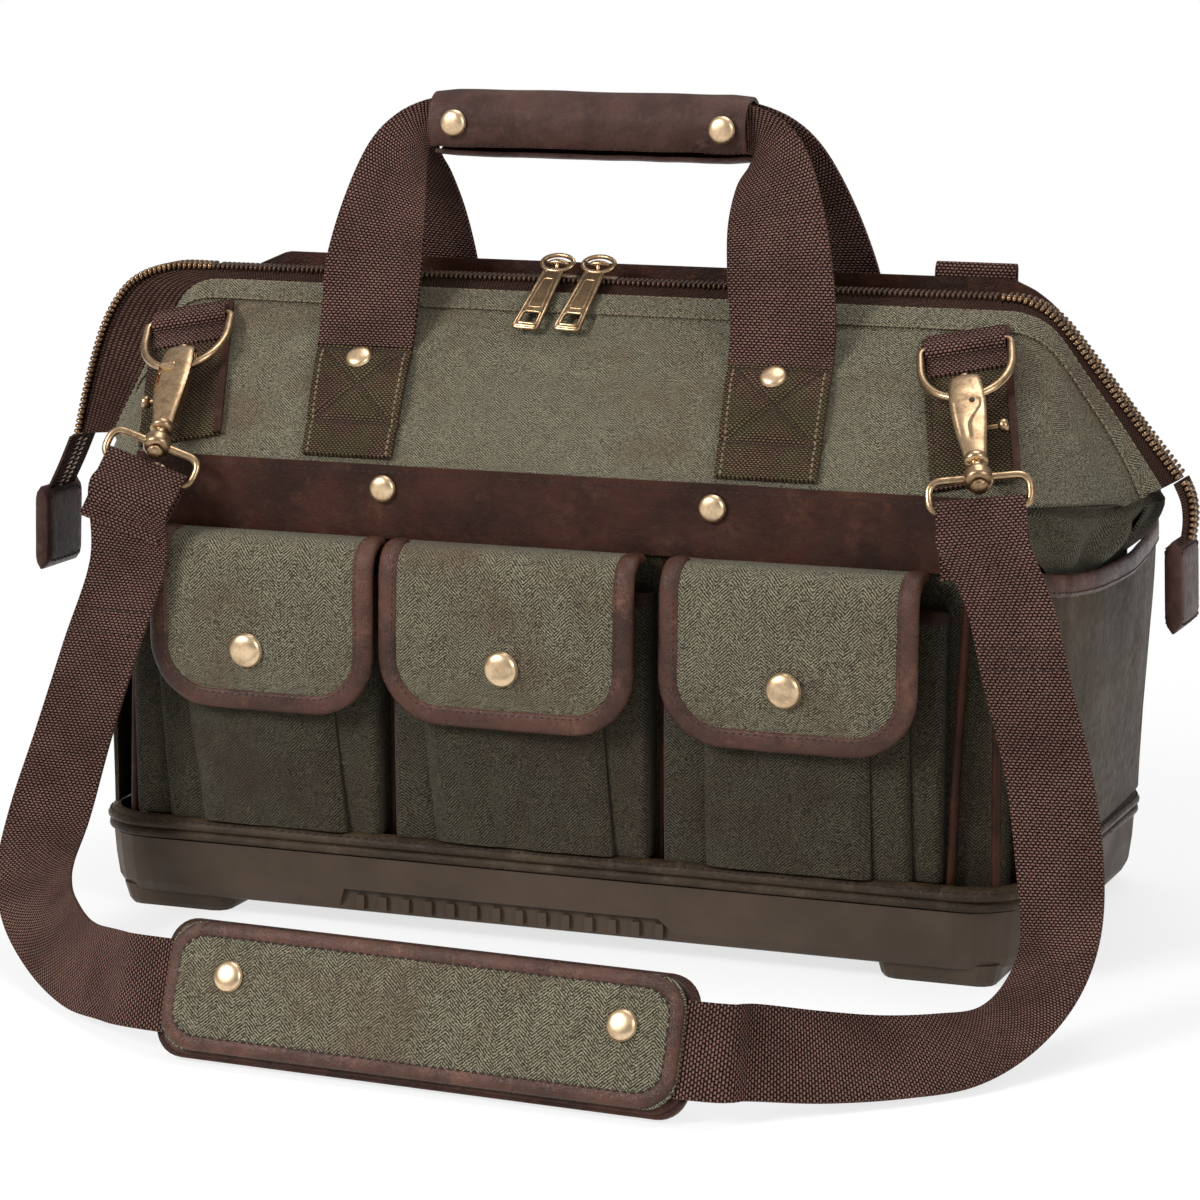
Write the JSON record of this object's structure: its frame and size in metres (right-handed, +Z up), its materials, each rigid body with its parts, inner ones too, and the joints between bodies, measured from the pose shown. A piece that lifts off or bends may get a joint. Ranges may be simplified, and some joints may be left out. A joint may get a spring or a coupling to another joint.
{
  "type": "travel bag",
  "caption": "Wide-mouth travel bag in waxed canvas on a moulded base, with flap pockets, zipped mouth, wrapped webbing handles and a padded shoulder strap on snap hooks.",
  "frame": {"origin": "on the floor under the middle of the bag's bounding box, the shoulder strap and its pad left out", "axes": "+X along the bag to its right end as seen from the front, +Y from the pocketed front to the back, +Z up"},
  "size_m": [0.5852, 0.4705, 0.3809],
  "materials": {
    "canvas": "waxed cotton canvas with a fine diagonal twill, worn brown in places",
    "waxed_side": "darker, smoother waxed canvas with a leather rim",
    "leather": "dark brown stitched leather",
    "webbing": "coarse basket-weave webbing",
    "brass": "antique brass, cast and tumbled",
    "base": "moulded matte base",
    "zip": "woven tape with chunky moulded teeth",
    "steel": "spring steel wire inside the hem"
  },
  "bodies": {
    "body": {"base_tray": "base", "base_welt": "leather", "base_board": "base", "body_shell": "canvas", "side_pocket_left": "waxed_side", "side_pocket_right": "waxed_side", "band_front": "leather", "band_rivet_1": "brass", "band_rivet_2": "brass", "band_rivet_3": "brass", "band_rivet_4": "brass", "pocket_left": "canvas", "pocket_middle": "canvas", "pocket_right": "canvas", "gusset_left": "canvas", "gusset_right": "canvas", "grip_wrap": "leather", "strap": "webbing", "pad_base": "leather", "pad_cover": "canvas", "pad_rivet_left": "brass", "pad_rivet_right": "brass"},
    "front_half": {"front_panel": "canvas", "front_frame": "steel", "zip_front": "zip", "handle_front": "webbing", "handle_rivet_front_left": "brass", "handle_rivet_front_right": "brass", "ring_tab_left": "webbing", "ring_tab_right": "webbing"},
    "back_half": {"back_panel": "canvas", "back_frame": "steel", "zip_back": "zip", "handle_back": "webbing", "handle_rivet_back_left": "brass", "handle_rivet_back_right": "brass", "back_loop": "webbing"},
    "zip_end_left": {"zip_end_left": "leather"},
    "zip_end_right": {"zip_end_right": "leather"},
    "flap_left": {"flap_left": "canvas", "flap_snap_left": "brass"},
    "flap_middle": {"flap_middle": "canvas", "flap_snap_middle": "brass"},
    "flap_right": {"flap_right": "canvas", "flap_snap_right": "brass"},
    "grip_flap": {"grip_flap": "leather", "grip_snap_left": "brass", "grip_snap_right": "brass"},
    "slider_left": {"zip_slider_left": "brass"},
    "slider_right": {"zip_slider_right": "brass"},
    "pull_left": {"zip_pull_left": "brass"},
    "pull_right": {"zip_pull_right": "brass"},
    "ring_left": {"ring_left": "brass"},
    "hook_left": {"hook_left": "brass"},
    "swivel_left": {"swivel_left": "brass"},
    "trigger_left": {"trigger_left": "brass"},
    "ring_right": {"ring_right": "brass"},
    "hook_right": {"hook_right": "brass"},
    "swivel_right": {"swivel_right": "brass"},
    "trigger_right": {"trigger_right": "brass"}
  },
  "joints": [
    {"name": "mouth_front", "type": "hinge", "parent": "body", "child": "front_half", "pos_m": [0.018, -0.096, 0.213], "axis": [1, 0, 0], "range_deg": [0, 30], "deforming": ["handle_front", "handle_back", "gusset_left", "gusset_right", "strap"]},
    {"name": "mouth_back", "type": "hinge", "parent": "body", "child": "back_half", "pos_m": [0.018, 0.12, 0.213], "axis": [-1, 0, 0], "range_deg": [0, 30]},
    {"name": "zip_end_left_rise", "type": "slide", "parent": "body", "child": "zip_end_left", "axis": [0, 0, 1], "range_m": [0, 0.0515]},
    {"name": "zip_end_right_rise", "type": "slide", "parent": "body", "child": "zip_end_right", "axis": [0, 0, 1], "range_m": [0, 0.0515]},
    {"name": "flap_left_hinge", "type": "hinge", "parent": "body", "child": "flap_left", "pos_m": [-0.1132, -0.0996, 0.1836], "axis": [-1, 0, 0], "range_deg": [0, 70]},
    {"name": "flap_middle_hinge", "type": "hinge", "parent": "body", "child": "flap_middle", "pos_m": [0.0073, -0.0996, 0.1836], "axis": [-1, 0, 0], "range_deg": [0, 85]},
    {"name": "flap_right_hinge", "type": "hinge", "parent": "body", "child": "flap_right", "pos_m": [0.1405, -0.0996, 0.1836], "axis": [-1, 0, 0], "range_deg": [0, 85]},
    {"name": "grip_flap_hinge", "type": "hinge", "parent": "body", "child": "grip_flap", "pos_m": [0.018, 0.011, 0.3806], "axis": [-1, 0, 0], "range_deg": [0, 110]},
    {"name": "zip_slider_left_run", "type": "slide", "parent": "front_half", "child": "slider_left", "axis": [-1, 0, 0], "range_m": [0, 0.13]},
    {"name": "zip_pull_left_hinge", "type": "hinge", "parent": "slider_left", "child": "pull_left", "pos_m": [-0.0165, 0.0029, 0.2985], "axis": [-1, 0, 0], "range_deg": [0, 55]},
    {"name": "zip_slider_right_run", "type": "slide", "parent": "front_half", "child": "slider_right", "axis": [1, 0, 0], "range_m": [0, 0.158]},
    {"name": "zip_pull_right_hinge", "type": "hinge", "parent": "slider_right", "child": "pull_right", "pos_m": [0.0042, 0.0029, 0.2985], "axis": [-1, 0, 0], "range_deg": [0, 55]},
    {"name": "ring_left_hinge", "type": "hinge", "parent": "front_half", "child": "ring_left", "pos_m": [-0.19, -0.03323, 0.27092], "axis": [-0.9613, -0.215, -0.1725], "range_deg": [0, 15]},
    {"name": "hook_left_hang", "type": "hinge", "parent": "ring_left", "child": "hook_left", "pos_m": [-0.17897, -0.0661, 0.25044], "axis": [-0.9613, -0.215, -0.1725], "range_deg": [-15, 0]},
    {"name": "swivel_left_turn", "type": "hinge", "parent": "hook_left", "child": "swivel_left", "pos_m": [-0.16861, -0.11065, 0.22079], "axis": [0.1902, -0.8132, -0.5501], "range_deg": [-8, 8]},
    {"name": "trigger_left_slide", "type": "slide", "parent": "hook_left", "child": "trigger_left", "axis": [0.1902, -0.8132, -0.5501], "range_m": [0, 0.007], "stiffness_N_per_m": 100, "springref_m": -0.005},
    {"name": "ring_right_hinge", "type": "hinge", "parent": "front_half", "child": "ring_right", "pos_m": [0.193, -0.0291, 0.27423], "axis": [-0.9613, -0.215, -0.1725], "range_deg": [0, 15]},
    {"name": "hook_right_hang", "type": "hinge", "parent": "ring_right", "child": "hook_right", "pos_m": [0.20403, -0.06197, 0.25376], "axis": [-0.9613, -0.215, -0.1725], "range_deg": [-15, 0]},
    {"name": "swivel_right_turn", "type": "hinge", "parent": "hook_right", "child": "swivel_right", "pos_m": [0.2217, -0.10498, 0.22534], "axis": [0.3245, -0.7851, -0.5276], "range_deg": [-8, 8]},
    {"name": "trigger_right_slide", "type": "slide", "parent": "hook_right", "child": "trigger_right", "axis": [0.3245, -0.7851, -0.5276], "range_m": [0, 0.007], "stiffness_N_per_m": 100, "springref_m": -0.005}
  ],
  "couplings": [
    {"joint": "mouth_back", "follows": "mouth_front", "ratio": 1},
    {"joint": "zip_end_left_rise", "follows": "mouth_front", "m_per_rad": 0.0974},
    {"joint": "zip_end_right_rise", "follows": "mouth_front", "m_per_rad": 0.0974},
    {"joint": "hook_left_hang", "follows": "ring_left_hinge", "ratio": -1},
    {"joint": "hook_right_hang", "follows": "ring_right_hinge", "ratio": -1}
  ]
}
